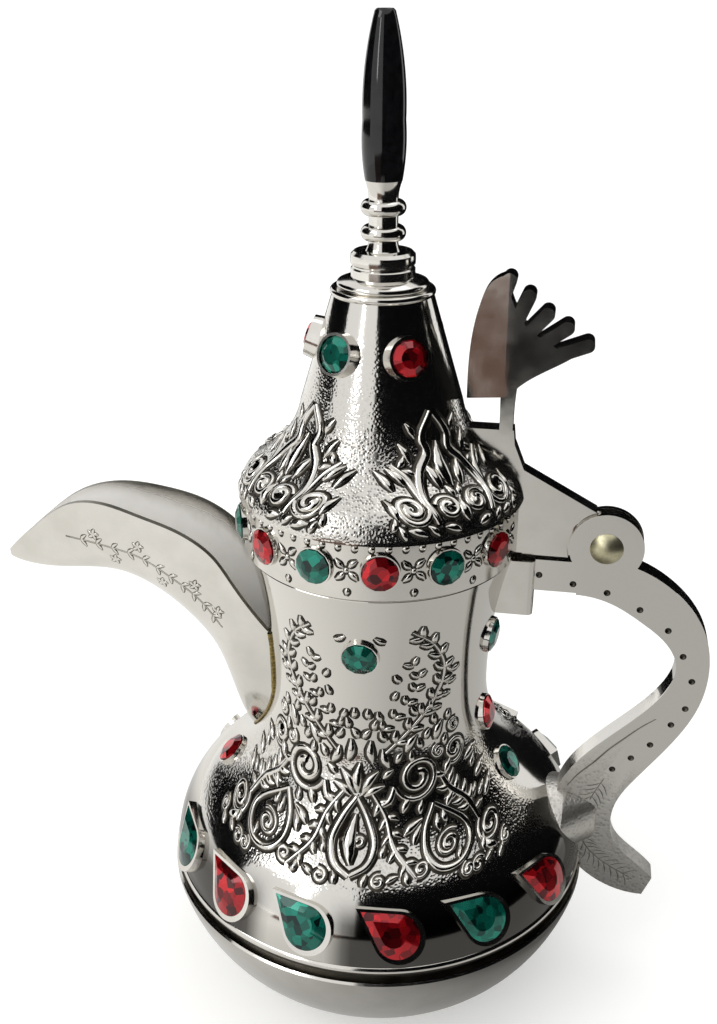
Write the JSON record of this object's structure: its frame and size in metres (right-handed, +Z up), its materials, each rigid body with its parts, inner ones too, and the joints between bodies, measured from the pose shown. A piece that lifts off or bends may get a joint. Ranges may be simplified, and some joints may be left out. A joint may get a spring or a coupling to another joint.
{
  "type": "dallah coffee pot",
  "caption": "Silver-plated coffee pot with a beak spout, an S-curved handle, a hinged pointed lid with a hand-shaped thumb crest, a black finial and set glass stones.",
  "frame": {"origin": "centre of the flat foot, on the surface the pot stands on", "axes": "+Z up along the pot's axis, -X towards the spout, +X towards the handle and hinge"},
  "size_m": [0.1536, 0.0958, 0.2066],
  "materials": {
    "silver_plate": "polished silver plate on brass",
    "black_lacquer": "glossy black",
    "pin_brass": "polished",
    "steel": "plain",
    "red_glass": "faceted",
    "green_glass": "faceted"
  },
  "bodies": {
    "pot": {"base_bowl": "silver_plate", "seam_ring": "silver_plate", "body_shell": "silver_plate", "spout": "silver_plate", "handle_bracket": "silver_plate", "handle_escutcheon": "silver_plate", "handle": "silver_plate", "hinge_pin": "pin_brass", "teardrop_collets": "silver_plate", "teardrop_stones_red": "red_glass", "teardrop_stones_green": "green_glass", "neck_collets": "silver_plate", "neck_stones_red": "red_glass", "neck_stones_green": "green_glass"},
    "lid": {"lid_cone": "silver_plate", "lid_band": "silver_plate", "lid_flange": "silver_plate", "lid_arm": "silver_plate", "thumb_crest": "silver_plate", "crown_collar": "silver_plate", "finial_stem": "silver_plate", "finial_rod": "black_lacquer", "finial_stud": "steel", "finial_washer": "steel", "finial_nut": "steel", "band_collets": "silver_plate", "band_stones_red": "red_glass", "band_stones_green": "green_glass", "crown_collets": "silver_plate", "crown_stones_red": "red_glass", "crown_stones_green": "green_glass"}
  },
  "joints": [
    {"name": "lid_hinge", "type": "hinge", "parent": "pot", "child": "lid", "pos_m": [0.0465, 0, 0.1062], "axis": [0, 1, 0], "range_deg": [0, 95]}
  ]
}
